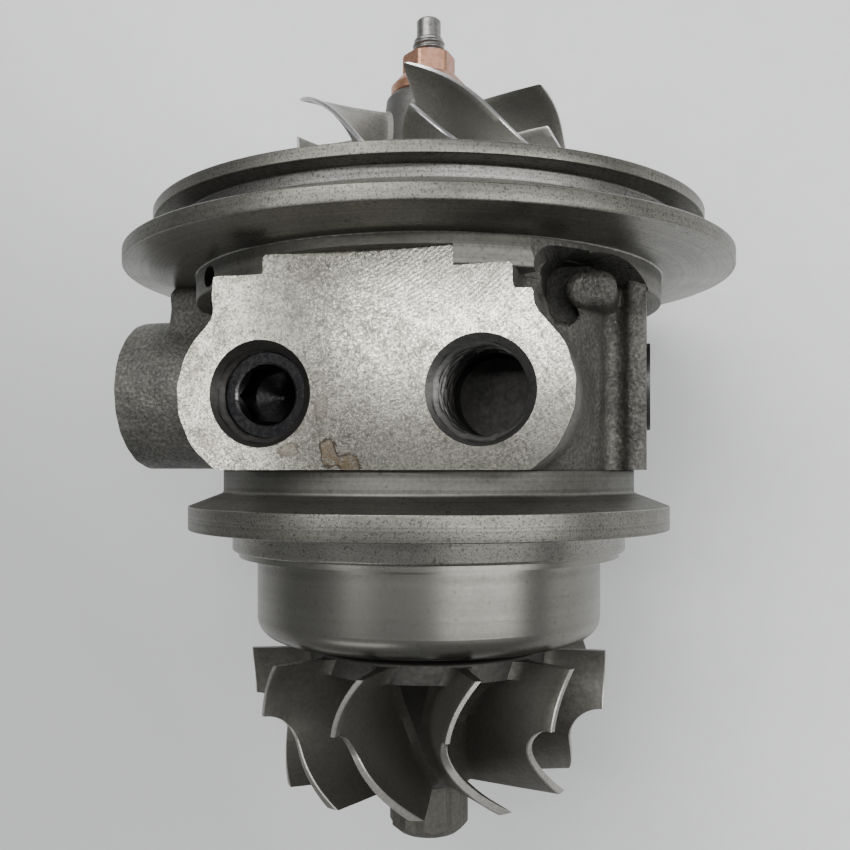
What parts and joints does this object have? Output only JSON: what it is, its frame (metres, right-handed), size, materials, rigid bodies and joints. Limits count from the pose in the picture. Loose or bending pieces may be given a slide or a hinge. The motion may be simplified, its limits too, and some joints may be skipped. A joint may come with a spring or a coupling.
{
  "type": "turbo cartridge",
  "caption": "Turbocharger centre cartridge: iron bearing housing with an oil pad and coolant bosses, heat shield, turbine and compressor wheels on one shaft.",
  "frame": {"origin": "on the shaft axis, in the compressor-side face of the bearing housing", "axes": "+Y along the shaft towards the compressor, +Z out of the oil pad, away from the drain the part lies on, X across"},
  "size_m": [0.0892, 0.1207, 0.0876],
  "materials": {
    "cast_iron": "rough cast, machined on the pad and flanges",
    "black_steel": "black oxide",
    "shield_steel": "pressed, satin",
    "spring_steel": "satin",
    "shaft_steel": "ground",
    "turbine_alloy": "cast, blade tips ground",
    "cast_aluminium": "cast, satin",
    "copper_plate": "dull copper",
    "bronze": "turned",
    "seal_rubber": "matt"
  },
  "bodies": {
    "housing": {"bearing_housing": "cast_iron", "port_plug": "black_steel", "coolant_plug": "black_steel", "heat_shield": "shield_steel", "seal_plate": "cast_aluminium", "seal_plate_o_ring": "seal_rubber", "seal_plate_snap_ring": "spring_steel", "thrust_bearing": "bronze", "thrust_bearing_screws": "spring_steel", "oil_deflector": "shield_steel", "bearing_ring_turbine_end": "spring_steel", "bearing_ring_turbine_inner": "spring_steel", "bearing_ring_compressor_inner": "spring_steel", "turbine_piston_ring": "spring_steel", "compressor_piston_ring": "spring_steel"},
    "rotor": {"rotor_shaft": "shaft_steel", "turbine_wheel": "turbine_alloy", "thrust_collar": "shaft_steel", "oil_flinger": "shaft_steel", "compressor_wheel": "cast_aluminium", "shaft_nut": "copper_plate"},
    "turbine_bearing": {"journal_bearing_turbine": "bronze"},
    "compressor_bearing": {"journal_bearing_compressor": "bronze"}
  },
  "joints": [
    {"name": "rotor_spin", "type": "hinge", "parent": "housing", "child": "rotor", "pos_m": [0, 0, 0], "axis": [0, 1, 0], "continuous": true},
    {"name": "turbine_bearing_spin", "type": "hinge", "parent": "housing", "child": "turbine_bearing", "pos_m": [0, 0, 0], "axis": [0, 1, 0], "continuous": true},
    {"name": "compressor_bearing_spin", "type": "hinge", "parent": "housing", "child": "compressor_bearing", "pos_m": [0, 0, 0], "axis": [0, 1, 0], "continuous": true}
  ]
}
